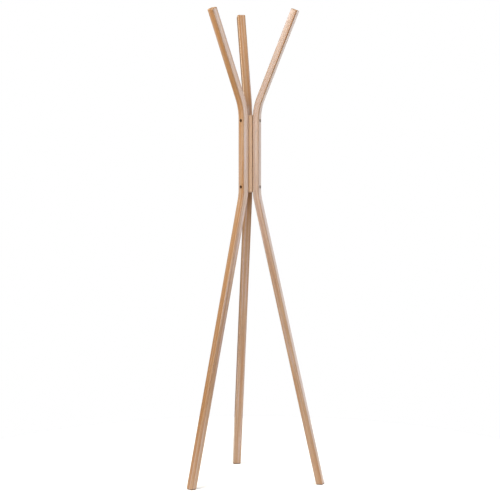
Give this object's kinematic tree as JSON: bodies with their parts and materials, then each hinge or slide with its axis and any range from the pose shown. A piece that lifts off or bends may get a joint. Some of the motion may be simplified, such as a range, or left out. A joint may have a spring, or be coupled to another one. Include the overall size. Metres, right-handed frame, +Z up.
{
  "type": "standing coat rack",
  "caption": "Free-standing coat rack of bent pale wooden bars that splay out as arms above and legs below a bolted central core.",
  "frame": {"origin": "on the floor, on the stand's upright axis, midway between the feet", "axes": "+Z up; +Y towards the rear bar, the other two bars at the front left and front right; the stand is symmetric about the YZ plane"},
  "size_m": [0.5152, 0.4472, 1.75],
  "materials": {
    "bar_wood": "clear satin lacquer on bent oak",
    "core_wood": "clear satin lacquer on oak",
    "bolt_steel": "bronze-plated steel",
    "washer_steel": "bronze-plated steel",
    "insert_brass": "turned brass",
    "pad_nylon": "moulded brown nylon"
  },
  "bodies": {
    "root": {"core_block": "core_wood", "left_bar": "bar_wood", "right_bar": "bar_wood", "rear_bar": "bar_wood", "left_foot_pad": "pad_nylon", "right_foot_pad": "pad_nylon", "rear_foot_pad": "pad_nylon", "left_upper_bolt": "bolt_steel", "left_lower_bolt": "bolt_steel", "right_upper_bolt": "bolt_steel", "right_lower_bolt": "bolt_steel", "rear_upper_bolt": "bolt_steel", "rear_lower_bolt": "bolt_steel", "left_upper_washer": "washer_steel", "left_lower_washer": "washer_steel", "right_upper_washer": "washer_steel", "right_lower_washer": "washer_steel", "rear_upper_washer": "washer_steel", "rear_lower_washer": "washer_steel", "left_upper_insert": "insert_brass", "left_lower_insert": "insert_brass", "right_upper_insert": "insert_brass", "right_lower_insert": "insert_brass", "rear_upper_insert": "insert_brass", "rear_lower_insert": "insert_brass"}
  },
  "joints": []
}
